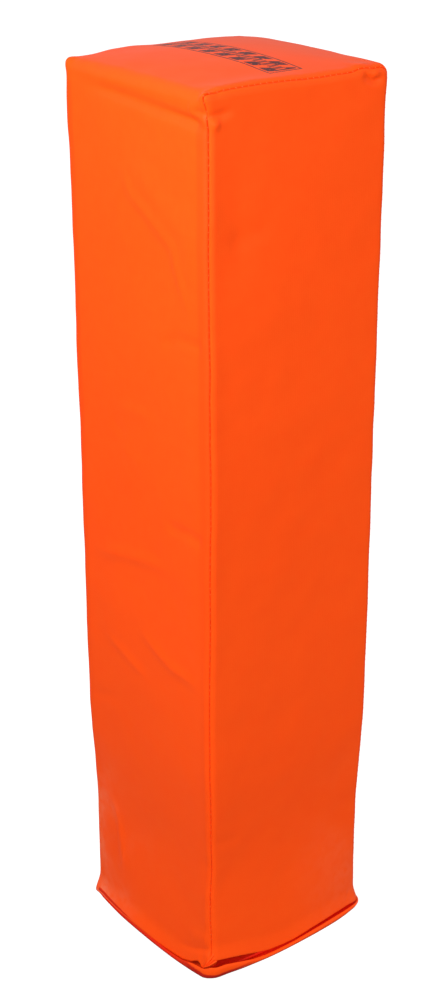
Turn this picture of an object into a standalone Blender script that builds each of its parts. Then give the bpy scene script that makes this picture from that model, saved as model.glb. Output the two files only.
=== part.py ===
"""Football field pylon: a sewn vinyl cover on a foam block, weighted low down and closed by a base flap.

Units are metres and +Z is up. The pylon stands on Z = 0, centred on the Z axis.
+Y is the back, -Y the front, and the base flap is hinged along the left side, at -X.

Every sewn piece is first laid out as if the pylon were a flat-sided box of half width HALF.
One function, stuffed(), then gives it the stuffed shape: a crowned top, sides that swell between
their seams, a drawn-in waist and a bowed foot.
"""

import math

import bmesh
import bpy
from mathutils import Vector

# Overall size: 4 x 4 x 18 inches
WIDTH = 0.1016
HEIGHT = 0.4572

# Stuffed shape of the cover
CROWN = 0.0042
CROWN_DEPTH = 0.050
SIDE_SWELL = 0.0012
WAIST_DRAW = 0.0020
WAIST_TOP = 0.125
WAIST_FULL = 0.058
FOOT_SWELL = 0.0037
FOOT_SWELL_TOP = 0.065
FOOT_CORNER = 0.0015
FOOT_CORNER_TOP = 0.014
BOW_POWER = 2.4
FOLD_RADIUS = 0.007

# Sheet, tape and board
VINYL = 0.0007
SEAM_ALLOWANCE = 0.005
LOOP_TAPE = 0.0008
HOOK_TAPE = 0.0010
TAPE_WIDTH = 0.016
TAPE_INSET = 0.0045
TAPE_MARGIN = 0.001
BOARD = 0.0010
TAPED_SIDES = ("front", "back", "right")

# Base flap
RIM_PROUD = 0.0015
RIM_CORNER_PROUD = 0.0026
RIM_RADIUS = 0.006
HEM_WIDTH = 0.0045
FOLD_INSET = 0.0045

# Weight pouch
POUCH_WIDTH = 0.062
POUCH_HEIGHT = 0.115
POUCH_RADIUS = 0.006
POUCH_FLANGE = 0.006
POUCH_SHEET = 0.0006

# Clearances
CLEAR = 0.0003
SEAM_GAP = 0.0003
CORE_CLEAR = 0.0006

# Mesh density
SIDE_SEGMENTS = 15
MIDDLE_SEGMENTS = 6
CORNER_SEGMENTS = 2
ROUND_SEGMENTS = 3
ROW_GRADING = 1.7

# Places that follow from the sizes
HALF = WIDTH / 2
TOP_Z = HEIGHT - CROWN
SHOULDER_Z = TOP_Z - FOLD_RADIUS
SEAM_SETBACK = SEAM_GAP / math.sqrt(2)
LIP_WIDTH = TAPE_INSET + TAPE_WIDTH + TAPE_MARGIN

BOARD_Z = VINYL + CLEAR
INNER_Z = BOARD_Z + BOARD + CLEAR
HEM_Z = INNER_Z + VINYL + CLEAR
RIM_HEIGHT = HEM_Z + VINYL
HOOK_Z = INNER_Z + VINYL + CLEAR
LOOP_Z = HOOK_Z + HOOK_TAPE + CLEAR
LIP_Z = LOOP_Z + LOOP_TAPE + CLEAR
HINGE_Z = RIM_HEIGHT / 2
COVER_END_Z = HOOK_Z
CORE_Z = LIP_Z + VINYL + CLEAR


def smooth(t):
    """Rises from 0 to 1 with level ends."""
    t = min(max(t, 0.0), 1.0)
    return t * t * (3 - 2 * t)


def bow(s):
    """How far a side stands out, from 1 at its middle to 0 at its corner, where s is 1."""
    return 1 - abs(s) ** BOW_POWER


def corner_half(z):
    """Half width at the corner seams, at height z."""
    waist = smooth((WAIST_TOP - z) / (WAIST_TOP - WAIST_FULL))
    foot = smooth((FOOT_CORNER_TOP - z) / FOOT_CORNER_TOP)
    return HALF - WAIST_DRAW * waist + FOOT_CORNER * foot


def side_swell(z):
    """How far the middle of a side stands out past the corner seams, at height z."""
    return SIDE_SWELL + FOOT_SWELL * smooth((FOOT_SWELL_TOP - z) / FOOT_SWELL_TOP)


RIM_CORNER = corner_half(0) + RIM_CORNER_PROUD
RIM_SWELL = corner_half(0) + side_swell(0) + RIM_PROUD - RIM_CORNER
HINGE_X = -(RIM_CORNER + RIM_SWELL)


def bowed(point, corner, swell):
    """Moves a point of the flat-sided box out with its side."""
    x_scale = (corner + swell * bow(point.y / HALF)) / HALF
    y_scale = (corner + swell * bow(point.x / HALF)) / HALF
    return Vector((point.x * x_scale, point.y * y_scale, point.z))


def stuffed(point):
    """Place of a cover point once the cover is stuffed."""
    placed = bowed(point, corner_half(point.z), side_swell(point.z))
    depth = smooth(1 - (TOP_Z - point.z) / CROWN_DEPTH)
    placed.z += CROWN * depth * bow(point.x / HALF) * bow(point.y / HALF)
    return placed


def on_rim(point):
    """Place of a point of the base flap, whose rim has its own bow."""
    return bowed(point, RIM_CORNER, RIM_SWELL)


def reshape(bm, place):
    """Moves every vertex to the place that the function gives."""
    for vert in bm.verts:
        vert.co = place(vert.co)


def spread(low, high, count):
    """Evenly spaced values from low to high."""
    return [low + (high - low) * k / count for k in range(count + 1)]


def across_values(half, radius):
    """Column positions across a side, with a block of each corner's radius at both ends."""
    centre = half - radius
    corner = [centre + radius * k / CORNER_SEGMENTS for k in range(1, CORNER_SEGMENTS + 1)]
    return [-value for value in reversed(corner)] + spread(-centre, centre, MIDDLE_SEGMENTS) + corner


def side_rows():
    """Heights of the rows up a side, closer together at the foot."""
    span = SHOULDER_Z - LIP_Z
    return [LIP_Z + span * (k / SIDE_SEGMENTS) ** ROW_GRADING for k in range(SIDE_SEGMENTS + 1)]


def round_off(u, v, centre_u, centre_v, radius):
    """Moves a point of a square corner block onto the quarter disc that the block holds."""
    a = (abs(u) - centre_u) / radius
    b = (abs(v) - centre_v) / radius
    if a <= 0 or b <= 0:
        return u, v
    disc_u = centre_u + radius * a * math.sqrt(1 - b * b / 2)
    disc_v = centre_v + radius * b * math.sqrt(1 - a * a / 2)
    return math.copysign(disc_u, u), math.copysign(disc_v, v)


def fold_angles():
    """Angles round a top fold that match the vertices of round_off."""
    lower = [math.asin(k / CORNER_SEGMENTS / math.sqrt(2)) for k in range(1, CORNER_SEGMENTS + 1)]
    return lower + [math.pi / 2 - angle for angle in reversed(lower[:-1])]


def outline_normal(point):
    """Outward direction, square to Y, at a point of the cover's front or back outline."""
    beyond_x = math.copysign(max(abs(point.x) - (HALF - FOLD_RADIUS), 0), point.x)
    beyond_z = max(point.z - SHOULDER_Z, 0)
    return Vector((beyond_x, 0, beyond_z)).normalized()


def grid_sheet(columns, rows, place):
    """A sheet with a vertex at place(column, row) for each pair of values."""
    bm = bmesh.new()
    bmesh.ops.create_grid(bm, x_segments=len(columns) - 1, y_segments=len(rows) - 1, size=1)
    for vert in bm.verts:
        column = columns[round((vert.co.x + 1) / 2 * (len(columns) - 1))]
        row = rows[round((vert.co.y + 1) / 2 * (len(rows) - 1))]
        vert.co = place(column, row)
    return bm


def fold_edges(bm, wanted, move):
    """Extrudes the sheet's open edges whose middle is wanted, and moves what is new."""
    edges = [e for e in bm.edges if e.is_boundary and wanted((e.verts[0].co + e.verts[1].co) / 2)]
    made = bmesh.ops.extrude_edge_only(bm, edges=edges)["geom"]
    for vert in made:
        if isinstance(vert, bmesh.types.BMVert):
            vert.co = move(vert.co)


def block(low, high):
    """A box mesh between two corners."""
    bm = bmesh.new()
    bmesh.ops.create_cube(bm, size=1)
    for vert in bm.verts:
        vert.co = Vector([(low[k] + high[k]) / 2 + vert.co[k] * (high[k] - low[k]) for k in range(3)])
    return bm


def is_upright(edge):
    """True for an edge that runs along Z."""
    run = edge.verts[0].co - edge.verts[1].co
    return abs(run.z) > abs(run.x) + abs(run.y)


def slice_along(bm, axis, values):
    """Cuts a mesh at each value along an axis, so that it can take a curve."""
    normal = Vector([float(k == axis) for k in range(3)])
    for value in values:
        everything = bm.verts[:] + bm.edges[:] + bm.faces[:]
        bmesh.ops.bisect_plane(bm, geom=everything, plane_co=normal * value, plane_no=normal)


def material(name, color, roughness):
    """A plain Principled material."""
    made = bpy.data.materials.new(name)
    made.use_nodes = True
    shader = made.node_tree.nodes["Principled BSDF"]
    shader.inputs["Base Color"].default_value = (*color, 1)
    shader.inputs["Roughness"].default_value = roughness
    shader.inputs["Metallic"].default_value = 0
    return made


def add_object(name, bm, finish, collection):
    """Turns a bmesh into an object of the collection."""
    mesh = bpy.data.meshes.new(name)
    bm.to_mesh(mesh)
    bm.free()
    made = bpy.data.objects.new(name, mesh)
    collection.objects.link(made)
    if finish is not None:
        mesh.materials.append(finish)
    return made


def thicken(sheet, thickness):
    """Gives a sheet its thickness, to the inside of its outer face."""
    shell = sheet.modifiers.new("Thickness", "SOLIDIFY")
    shell.thickness = thickness
    shell.offset = -1
    shell.use_even_offset = True


def cut(target, cutter):
    """Cuts one object out of another."""
    cutter.hide_render = True
    cutter.display_type = "WIRE"
    hole = target.modifiers.new(cutter.name, "BOOLEAN")
    hole.operation = "DIFFERENCE"
    hole.solver = "EXACT"
    hole.object = cutter


def allowance(co, inward_y):
    """Inner edge of a seam allowance, turned in at 45 degrees."""
    return co + (Vector((0, inward_y, 0)) - outline_normal(co)) * SEAM_ALLOWANCE / math.sqrt(2)


def at_hem(co, along):
    """True for a point on a hem that can turn in, clear of the corner seams."""
    return co.z < LIP_Z + CLEAR and abs(co[along]) < HALF - FOLD_RADIUS


def lip(co, along):
    """Inner edge of a hem lip that runs along X (0) or Y (1), mitred at both ends."""
    inner = Vector(co)
    inner[1 - along] -= math.copysign(LIP_WIDTH, co[1 - along])
    inner[along] *= (HALF - LIP_WIDTH) / HALF
    return inner


def wrap_panel(finish, collection):
    """One strip: up the left side, over the top and down the right side to a hem lip."""
    rows = side_rows()
    path = [(-HALF, z) for z in [COVER_END_Z] + rows]
    arc = [(FOLD_RADIUS * math.cos(angle), FOLD_RADIUS * math.sin(angle)) for angle in fold_angles()]
    centre = HALF - FOLD_RADIUS
    path += [(-centre - x, SHOULDER_Z + z) for x, z in arc]
    path += [(x, TOP_Z) for x in spread(-centre, centre, MIDDLE_SEGMENTS)]
    path += [(centre + x, SHOULDER_Z + z) for x, z in reversed(arc)]
    path += [(HALF, z) for z in reversed(rows)]
    seam_y = HALF - SEAM_SETBACK
    bm = grid_sheet(
        path,
        across_values(seam_y, FOLD_RADIUS - SEAM_SETBACK),
        lambda place, y: Vector((place[0], y, place[1])),
    )

    fold_edges(bm, lambda co: abs(co.y) > seam_y - CLEAR, lambda co: allowance(co, -math.copysign(1, co.y)))
    fold_edges(bm, lambda co: co.x > 0 and at_hem(co, 1), lambda co: lip(co, 1))
    reshape(bm, stuffed)
    sheet = add_object("wrap_panel", bm, finish, collection)
    thicken(sheet, VINYL)
    return sheet


def front_panel(finish, collection):
    """A side panel with round top corners, sewn in on three edges and turned in at its hem."""
    seam_x = HALF - SEAM_SETBACK
    radius = FOLD_RADIUS - SEAM_SETBACK
    rows = side_rows() + [SHOULDER_Z + radius * k / CORNER_SEGMENTS for k in range(1, CORNER_SEGMENTS + 1)]

    def place(x, z):
        x, z = round_off(x, z, seam_x - radius, SHOULDER_Z, radius)
        return Vector((x, -HALF, z))

    bm = grid_sheet(across_values(seam_x, radius), rows, place)

    fold_edges(bm, lambda co: co.z > LIP_Z + CLEAR, lambda co: allowance(co, 1))
    fold_edges(bm, lambda co: at_hem(co, 0), lambda co: lip(co, 0))
    reshape(bm, stuffed)
    sheet = add_object("front_panel", bm, finish, collection)
    thicken(sheet, VINYL)
    return sheet


def back_panel(front, collection):
    """The front panel's twin, turned half way round."""
    twin = bpy.data.objects.new("back_panel", front.data)
    twin.rotation_euler.z = math.pi
    collection.objects.link(twin)
    thicken(twin, VINYL)
    return twin


def tape_strip(name, side, z, thickness, finish, collection):
    """A strip of hook or loop tape along the front (-Y), back (+Y) or right (+X) hem lip."""
    outer = HALF - TAPE_INSET
    inner = outer - TAPE_WIDTH
    reach = HALF - LIP_WIDTH
    if side == "right":
        bm = block((inner, -reach, z), (outer, reach, z + thickness))
        slice_along(bm, 1, spread(-reach, reach, MIDDLE_SEGMENTS)[1:-1])
    else:
        low_y, high_y = (-outer, -inner) if side == "front" else (inner, outer)
        bm = block((-reach, low_y, z), (reach, high_y, z + thickness))
        slice_along(bm, 0, spread(-reach, reach, MIDDLE_SEGMENTS)[1:-1])
    reshape(bm, lambda co: bowed(co, corner_half(0), side_swell(0)))
    return add_object(name, bm, finish, collection)


def foam_core(finish, collection, cutters):
    """The foam block: edges trimmed to clear the seam allowances, and a pocket for the pouch."""
    half = HALF - VINYL - CORE_CLEAR
    top = TOP_Z - VINYL - CORE_CLEAR
    turned = SEAM_ALLOWANCE / math.sqrt(2)
    tip_x = HALF - FOLD_RADIUS + (FOLD_RADIUS - turned) / math.sqrt(2)
    tip_y = HALF - turned
    chamfer = 2 * half - tip_x - tip_y + CLEAR * math.sqrt(2)
    bm = block((-half, -half, CORE_Z), (half, half, top))
    bmesh.ops.bevel(bm, geom=bm.edges[:], offset=chamfer, segments=1, affect="EDGES")
    flat = half - chamfer
    for axis in (0, 1):
        slice_along(bm, axis, spread(-flat, flat, MIDDLE_SEGMENTS)[1:-1])
    slice_along(bm, 2, [z for z in side_rows() if CORE_Z + CLEAR < z < top - chamfer - CLEAR])
    reshape(bm, stuffed)
    core = add_object("foam_core", bm, finish, collection)

    pocket_half = POUCH_WIDTH / 2 + CLEAR
    pocket_top = CORE_Z + POUCH_HEIGHT + CLEAR
    pocket = block((-pocket_half, -pocket_half, 0), (pocket_half, pocket_half, pocket_top))
    cut(core, add_object("pocket_cutter", pocket, None, cutters))
    recess_half = POUCH_WIDTH / 2 + POUCH_FLANGE + CLEAR
    recess_top = CORE_Z + 2 * POUCH_SHEET + 2 * CLEAR
    recess = block((-recess_half, -recess_half, 0), (recess_half, recess_half, recess_top))
    cut(core, add_object("flange_recess_cutter", recess, None, cutters))
    return core


def pouch(sheet_finish, sand_finish, collection):
    """The weight pouch, resting on the hem lips: a flanged bag, its base sheet and the sand."""
    half = POUCH_WIDTH / 2
    flange_half = half + POUCH_FLANGE
    base_top = CORE_Z + POUCH_SHEET
    flange_z = base_top + CLEAR + POUCH_SHEET
    top = CORE_Z + POUCH_HEIGHT

    bag = block((-half, -half, flange_z), (half, half, top))
    bmesh.ops.delete(bag, geom=[f for f in bag.faces if f.normal.z < -0.5], context="FACES")
    edges = [e for e in bag.edges if not e.is_boundary]
    bmesh.ops.bevel(bag, geom=edges, offset=POUCH_RADIUS, segments=ROUND_SEGMENTS, profile=0.5, affect="EDGES")

    def flange(co):
        return Vector((co.x * flange_half / half, co.y * flange_half / half, co.z))

    fold_edges(bag, lambda co: co.z < flange_z + CLEAR, flange)
    thicken(add_object("pouch_bag", bag, sheet_finish, collection), POUCH_SHEET)

    base = block((-flange_half, -flange_half, CORE_Z), (flange_half, flange_half, base_top))
    uprights = [e for e in base.edges if is_upright(e)]
    bmesh.ops.bevel(
        base,
        geom=uprights,
        offset=POUCH_RADIUS * flange_half / half,
        segments=ROUND_SEGMENTS,
        profile=0.5,
        affect="EDGES",
    )
    add_object("pouch_base", base, sheet_finish, collection)

    wall = POUCH_SHEET + CLEAR
    sand = block((-half + wall, -half + wall, base_top + CLEAR), (half - wall, half - wall, top - wall))
    low = base_top + 2 * CLEAR
    edges = [e for e in sand.edges if is_upright(e) or all(v.co.z > low for v in e.verts)]
    bmesh.ops.bevel(sand, geom=edges, offset=POUCH_RADIUS, segments=ROUND_SEGMENTS, profile=0.5, affect="EDGES")
    add_object("sand_fill", sand, sand_finish, collection)


def flap_outer_layer(finish, collection):
    """The flap's vinyl: a flat base whose three free edges turn up and in over the layers above."""
    columns = across_values(HALF, RIM_RADIUS)
    centre = HALF - RIM_RADIUS

    def place(x, y):
        x, y = round_off(x, y, centre, centre, RIM_RADIUS)
        return Vector((x, y, 0))

    bm = grid_sheet(columns, [-y for y in columns], place)

    def free_edge(co):
        return co.x > -centre

    def wall(co):
        return co + Vector((0, 0, RIM_HEIGHT))

    def hem(co):
        outward = Vector((max(co.x - centre, 0), math.copysign(max(abs(co.y) - centre, 0), co.y), 0))
        return co - outward.normalized() * HEM_WIDTH

    fold_edges(bm, free_edge, wall)
    fold_edges(bm, lambda co: co.z > RIM_HEIGHT - CLEAR, hem)
    reshape(bm, on_rim)
    sheet = add_object("flap_outer_layer", bm, finish, collection)
    thicken(sheet, VINYL)
    return sheet


def flap_sheet(name, z, thickness, finish, collection):
    """A flat layer inside the flap's turned-up edges, short of the fold on the left."""
    inset = VINYL + CLEAR
    edge = HALF - inset
    bm = block((-HALF + FOLD_INSET, -edge, z), (edge, edge, z + thickness))
    uprights = [e for e in bm.edges if is_upright(e)]
    radius = RIM_RADIUS - inset
    bmesh.ops.bevel(bm, geom=uprights, offset=radius, segments=ROUND_SEGMENTS, profile=0.5, affect="EDGES")
    for axis in (0, 1):
        slice_along(bm, axis, spread(-(edge - radius), edge - radius, MIDDLE_SEGMENTS)[1:-1])
    reshape(bm, on_rim)
    return add_object(name, bm, finish, collection)


def hang_on_hinge(pieces, collection):
    """Parents the flap's pieces to an empty on the hinge axis."""
    hinge = bpy.data.objects.new("base_flap_hinge", None)
    hinge.location = (HINGE_X, 0, HINGE_Z)
    collection.objects.link(hinge)
    bpy.context.view_layer.update()
    for piece in pieces:
        piece.parent = hinge
        piece.matrix_parent_inverse = hinge.matrix_world.inverted()


def build():
    """Makes the whole pylon."""
    for old in list(bpy.data.objects):
        bpy.data.objects.remove(old, do_unlink=True)
    parts = bpy.data.collections.new("field_pylon")
    cutters = bpy.data.collections.new("cutters")
    for collection in (parts, cutters):
        bpy.context.scene.collection.children.link(collection)

    vinyl = material("orange_vinyl", (1.0, 0.16, 0.02), 0.42)
    foam = material("white_foam", (0.82, 0.80, 0.74), 0.95)
    loop = material("loop_tape", (0.05, 0.05, 0.05), 0.95)
    hook = material("hook_tape", (0.03, 0.03, 0.03), 0.80)
    board = material("stiffener_board", (0.80, 0.80, 0.78), 0.50)
    canvas = material("pouch_canvas", (0.10, 0.11, 0.12), 0.85)
    sand = material("sand", (0.55, 0.43, 0.28), 0.95)

    wrap_panel(vinyl, parts)
    front = front_panel(vinyl, parts)
    back_panel(front, parts)
    foam_core(foam, parts, cutters)
    pouch(canvas, sand, parts)
    for side in TAPED_SIDES:
        tape_strip("loop_tape_" + side, side, LOOP_Z, LOOP_TAPE, loop, parts)

    flap = [flap_outer_layer(vinyl, parts)]
    flap.append(flap_sheet("flap_stiffener", BOARD_Z, BOARD, board, parts))
    flap.append(flap_sheet("flap_inner_layer", INNER_Z, VINYL, vinyl, parts))
    for side in TAPED_SIDES:
        flap.append(tape_strip("hook_tape_" + side, side, HOOK_Z, HOOK_TAPE, hook, parts))
    hang_on_hinge(flap, parts)


build()
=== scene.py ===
# %% [markdown]
# # A field pylon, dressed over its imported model
# The real pylon is a foam block in a sewn cover of coated vinyl. A pouch of sand low down keeps it
# upright, and a base flap with hook-and-loop tape closes it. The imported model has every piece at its
# real size and place, so this lesson never moves it. It makes the visible skin of each soft piece
# over it, and gives every piece a material made of nodes.
# Lengths are in metres. +Z is up, -Y is the front, and the flap is hinged along the left side, -X.

import math
import random

import bmesh
import bpy
import numpy as np
from mathutils import Matrix, Quaternion, Vector, noise


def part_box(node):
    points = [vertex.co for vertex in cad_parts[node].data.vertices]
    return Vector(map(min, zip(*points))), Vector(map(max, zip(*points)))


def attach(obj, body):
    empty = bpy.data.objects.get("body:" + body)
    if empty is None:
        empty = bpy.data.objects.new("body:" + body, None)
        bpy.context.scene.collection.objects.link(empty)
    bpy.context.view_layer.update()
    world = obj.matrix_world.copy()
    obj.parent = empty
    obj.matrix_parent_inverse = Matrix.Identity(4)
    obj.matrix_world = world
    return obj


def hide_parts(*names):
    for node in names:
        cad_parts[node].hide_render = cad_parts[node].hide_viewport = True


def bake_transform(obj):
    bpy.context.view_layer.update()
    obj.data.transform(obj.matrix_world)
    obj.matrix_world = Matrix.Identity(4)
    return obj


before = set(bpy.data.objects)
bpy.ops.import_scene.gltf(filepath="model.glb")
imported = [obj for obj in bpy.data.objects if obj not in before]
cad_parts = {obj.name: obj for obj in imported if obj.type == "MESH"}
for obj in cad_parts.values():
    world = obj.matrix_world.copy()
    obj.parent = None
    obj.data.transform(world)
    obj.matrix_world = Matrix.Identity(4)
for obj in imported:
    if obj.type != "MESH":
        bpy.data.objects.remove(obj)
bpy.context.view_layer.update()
MM = 0.001
# A set seed gives every run the same unevenness
SEED = 18
noise.seed_set(SEED)
print("nodes in the frame:", len(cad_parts))

# %% [markdown]
# ## Camera
# The photograph's camera was solved from the pylon's own edges: the top seams, the corner seams and
# the rim. It stands to the front left, a little above the top, and looks down on a tall frame. A
# camera could also be aimed by eye, but the solved one lets each crease be placed by its real size.

# %% Stand the camera where the photograph was taken
CAMERA_PLACE = Vector((-0.5131, -0.6386, 0.6089))
CAMERA_YAW = math.radians(38.50)
CAMERA_PITCH = math.radians(24.37)
CAMERA_ROLL = math.radians(-0.17)
FOCAL_LENGTH_IN_PIXELS = 1815
PHOTO_HEIGHT_IN_PIXELS = 1000
SENSOR_MM = 36


def add_object(name, data):
    """Puts an object into the scene."""
    made = bpy.data.objects.new(name, data)
    bpy.context.scene.collection.objects.link(made)
    return made


def aim(made, place, look, roll=0):
    """Stands a camera or a lamp at a place and turns it to look along a direction."""
    made.location = place
    made.rotation_mode = "QUATERNION"
    made.rotation_quaternion = look.to_track_quat("-Z", "Y") @ Quaternion((0, 0, 1), roll)


look = Vector((
    math.sin(CAMERA_YAW) * math.cos(CAMERA_PITCH),
    math.cos(CAMERA_YAW) * math.cos(CAMERA_PITCH),
    -math.sin(CAMERA_PITCH),
))
camera = add_object("photo_camera", bpy.data.cameras.new("photo_camera"))
aim(camera, CAMERA_PLACE, look, CAMERA_ROLL)
camera.data.sensor_width = SENSOR_MM
camera.data.lens = FOCAL_LENGTH_IN_PIXELS / PHOTO_HEIGHT_IN_PIXELS * SENSOR_MM
bpy.context.scene.camera = camera
print("lens", round(camera.data.lens, 2), "mm")

# %% [markdown]
# ## The stuffed shape
# A stuffed cover is hard to model face by face, because its top, sides and seams all curve at once.
# So each sheet is cut flat first, on a box with flat sides, and one function then stuffs that box:
# it crowns the top, swells the sides between their seams, draws in the waist and bows the foot.
# Every piece that goes through the same function still meets its neighbours afterwards.

# %% Sizes of the cover
HALF = 50.8 * MM
CROWN = 3.8 * MM
CROWN_DEPTH = 50 * MM
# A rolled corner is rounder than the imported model's, so the sides stand full right up to it
CORNER_FILL = 1.35 * MM
WAIST_DRAW = 2.0 * MM
WAIST_TOP = 125 * MM
WAIST_FULL = 58 * MM
FOOT_SWELL = 3.7 * MM
FOOT_SWELL_TOP = 65 * MM
FOOT_CORNER = 1.5 * MM
FOOT_CORNER_TOP = 14 * MM
BOW_POWER = 2.4
TOP_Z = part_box("wrap_panel")[1].z - CROWN
print("top seam height", round(TOP_Z / MM, 1), "mm")


# %% Stuff the flat-sided box
def smooth(t):
    """Rises from 0 to 1 with level ends."""
    t = np.clip(t, 0, 1)
    return t * t * (3 - 2 * t)


def bow(s):
    """How far a side stands out, from 1 at its middle to 0 at its corner, where s is 1."""
    return 1 - np.abs(s) ** BOW_POWER


def corner_half(z):
    """Half width at the corner seams, at height z."""
    waist = smooth((WAIST_TOP - z) / (WAIST_TOP - WAIST_FULL))
    foot = smooth((FOOT_CORNER_TOP - z) / FOOT_CORNER_TOP)
    return HALF + CORNER_FILL - WAIST_DRAW * waist + FOOT_CORNER * foot


def side_swell(z):
    """How far the middle of a side stands out past its corner seams, at height z."""
    return FOOT_SWELL * smooth((FOOT_SWELL_TOP - z) / FOOT_SWELL_TOP)


def bowed(points, corner, swell):
    """Moves points of the flat-sided box out with their sides."""
    made = points.copy()
    made[:, 0] *= (corner + swell * bow(points[:, 1] / HALF)) / HALF
    made[:, 1] *= (corner + swell * bow(points[:, 0] / HALF)) / HALF
    return made


def stuffed(points):
    """Places of cover points once the cover is stuffed."""
    z = points[:, 2]
    made = bowed(points, corner_half(z), side_swell(z))
    depth = smooth(1 - (TOP_Z - z) / CROWN_DEPTH)
    made[:, 2] += CROWN * depth * bow(points[:, 0] / HALF) * bow(points[:, 1] / HALF)
    return made


for height in (10, 58, 200):
    print("half width at the seams,", height, "mm up:", round(float(corner_half(height * MM)) / MM, 2))

# %% [markdown]
# ## Lifted hems and creases
# The cover isn't a clean box. Its hem lifts off the flap at the near corner, the vinyl sinks in below
# the top edge, where the foam's own edge is trimmed, and it puckers where seams meet. Sculpting by
# hand would lose these as soon as a size changes. Here each crease is a short path on the pylon with
# a width and a push, and the push fades away from the path like a finger mark.

# %% Lift the hems
HEM_Z = 4.0 * MM
# Hem height in millimetres by the compass angle round the pylon, with the near corner at 225
HEM_HEIGHTS = {
    100: 3.5, 130: 1.0, 142: 0.3, 149: 0.7, 163: 1.7, 182: 2.1, 195: 1.6, 206: 1.6, 211: 1.9, 216: 4.2,
    219: 7.0, 225: 11.0, 231: 9.4, 238: 7.4, 246: 5.0, 254: 3.0, 262: 2.3, 272: 1.8, 287: 2.9, 301: 3.6,
    309: 3.4, 315: 2.6, 322: 3.0, 460: 3.5,
}
HEM_RISE_TOP = 90 * MM
HEM_SAG_DEPTH = 4 * MM
TONGUE_PLACE = 5.6 * MM
TONGUE_WIDTH = 1.7 * MM
TONGUE_DROP = 6.0 * MM
TONGUE_TOP = 13 * MM


def hill(distance, width):
    """A smooth hill, 1 at its middle."""
    return np.exp(-((distance / width) ** 2))


def by_angle(table, x, y):
    """A value in millimetres from a table by compass angle, in metres."""
    angle = (np.degrees(np.arctan2(y, x)) - 100) % 360 + 100
    return np.interp(angle, list(table), list(table.values())) * MM


def hem_lift(points):
    """How far each point of the box rises or sinks, so that the hem lies at its own height."""
    x, y, z = points.T
    lift = by_angle(HEM_HEIGHTS, x, y) - HEM_Z
    outer = smooth((np.maximum(np.abs(x), np.abs(y)) - HALF + HEM_SAG_DEPTH) / HEM_SAG_DEPTH)
    lift = np.where(lift < 0, lift * outer, lift)
    tongue = np.where(y < x, 0, TONGUE_DROP * hill(y + HALF - TONGUE_PLACE, TONGUE_WIDTH))
    return lift * (1 - smooth(z / HEM_RISE_TOP)) - tongue * (1 - smooth(z / TONGUE_TOP))


# %% Press in the creases
class Crease:
    """A path in millimetres on the stuffed pylon, pressed in or out by a push, also in millimetres."""

    def __init__(self, path, width, push, start=0.3, end=0.3):
        self.path = np.array(path, float) * MM
        self.width = width * MM
        self.push = np.array(push, float) * MM
        self.start = start
        self.end = end

    def moves(self, points):
        """How far this crease moves each point."""
        nearest = np.full(len(points), np.inf)
        along = np.zeros(len(points))
        runs = np.diff(self.path, axis=0)
        lengths = np.linalg.norm(runs, axis=1)
        starts = np.concatenate([[0], np.cumsum(lengths)])
        for origin, run, length, begun in zip(self.path, runs, lengths, starts):
            t = np.clip((points - origin) @ run / length**2, 0, 1)
            gap = np.linalg.norm(points - origin - t[:, None] * run, axis=1)
            closer = gap < nearest
            nearest[closer] = gap[closer]
            along[closer] = ((begun + t * length) / starts[-1])[closer]
        weight = hill(nearest, self.width)
        if self.start:
            weight = weight * smooth(along / self.start)
        if self.end:
            weight = weight * smooth((1 - along) / self.end)
        return weight[:, None] * self.push


def on_left(path, width, push, start=0.3, end=0.3):
    """A crease of the left side, along (y, z) points, pushed along X."""
    return Crease([(-52, y, z) for y, z in path], width, (push, 0, 0), start, end)


def on_front(path, width, push, start=0.3, end=0.3):
    """A crease of the front, along (x, z) points, pushed along Y."""
    return Crease([(x, -52, z) for x, z in path], width, (0, push, 0), start, end)


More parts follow.
